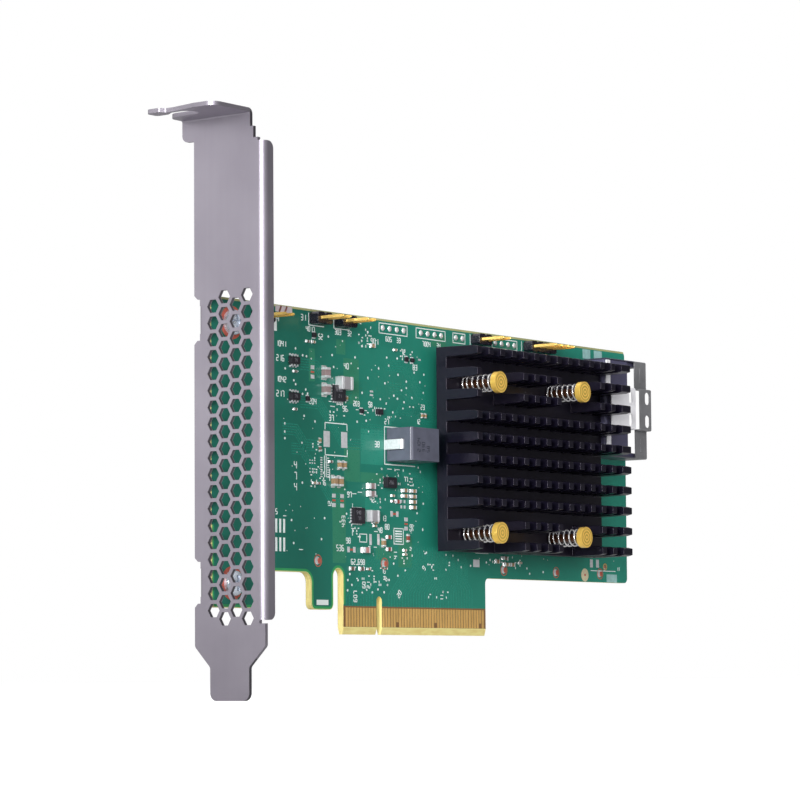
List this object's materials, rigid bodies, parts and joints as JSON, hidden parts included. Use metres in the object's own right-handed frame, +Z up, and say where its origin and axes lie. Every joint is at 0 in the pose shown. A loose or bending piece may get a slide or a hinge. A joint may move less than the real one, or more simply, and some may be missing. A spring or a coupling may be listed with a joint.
{
  "type": "raid controller card",
  "caption": "Low-profile storage controller card with a vented full-height slot bracket, edge connector, pin-fin heat sink on sprung push pins and a rear cable socket.",
  "frame": {"origin": "on the lower edge of the edge connector, at the centre of the key notch and at half the board thickness", "axes": "+X along the board from the slot bracket to the cable end, +Z up from the edge connector into the card, -Y out of the component side; -Z is the way the card goes into its slot"},
  "size_m": [0.167, 0.0216, 0.12],
  "materials": {
    "board_laminate": "solder-masked glass epoxy",
    "gilt_contact": "gold plated",
    "bracket_steel": "satin plated sheet",
    "screw_steel": "bright plated",
    "package_laminate": "matte",
    "lid_nickel": "nickel plated",
    "thermal_compound": "soft",
    "black_anodised": "black anodised",
    "turned_brass": "turned and polished",
    "spring_steel": "bright wire",
    "socket_plastic": "moulded",
    "socket_steel": "satin stamped sheet",
    "ferrite": "sintered",
    "tinned_copper": "tinned",
    "header_plastic": "moulded",
    "header_gold": "gold plated",
    "chip_plastic": "moulded epoxy",
    "chip_inductor": "pressed powder",
    "capacitor_ceramic": "fired with tinned ends"
  },
  "bodies": {
    "root": {"circuit_board": "board_laminate", "edge_contacts": "gilt_contact", "cable_socket_contacts": "gilt_contact", "slot_bracket": "bracket_steel", "bracket_screw_upper": "screw_steel", "bracket_screw_lower": "screw_steel", "controller_substrate": "package_laminate", "controller_lid": "lid_nickel", "thermal_pad": "thermal_compound", "heat_sink": "black_anodised", "push_pin_1": "turned_brass", "push_pin_2": "turned_brass", "push_pin_3": "turned_brass", "push_pin_4": "turned_brass", "push_pin_spring_1": "spring_steel", "push_pin_spring_2": "spring_steel", "push_pin_spring_3": "spring_steel", "push_pin_spring_4": "spring_steel", "cable_socket_body": "socket_plastic", "cable_socket_shell": "socket_steel", "power_choke_core": "ferrite", "power_choke_strap": "tinned_copper", "logic_ic_leads": "tinned_copper", "header_bracket_base": "header_plastic", "header_fault_base": "header_plastic", "header_activity_base": "header_plastic", "header_service_base": "header_plastic", "header_console_base": "header_plastic", "header_bracket_pins": "header_gold", "header_fault_pins": "header_gold", "header_activity_pins": "header_gold", "header_service_pins": "header_gold", "header_console_pins": "header_gold", "buck_driver_ic": "chip_plastic", "regulator_ic": "chip_plastic", "flash_memory_ic": "chip_plastic", "logic_ic_upper": "chip_plastic", "logic_ic_lower": "chip_plastic", "chip_inductor_upper": "chip_inductor", "chip_inductor_lower": "chip_inductor", "capacitors_supply": "capacitor_ceramic", "capacitors_core": "capacitor_ceramic", "capacitors_rear": "capacitor_ceramic"}
  },
  "joints": []
}
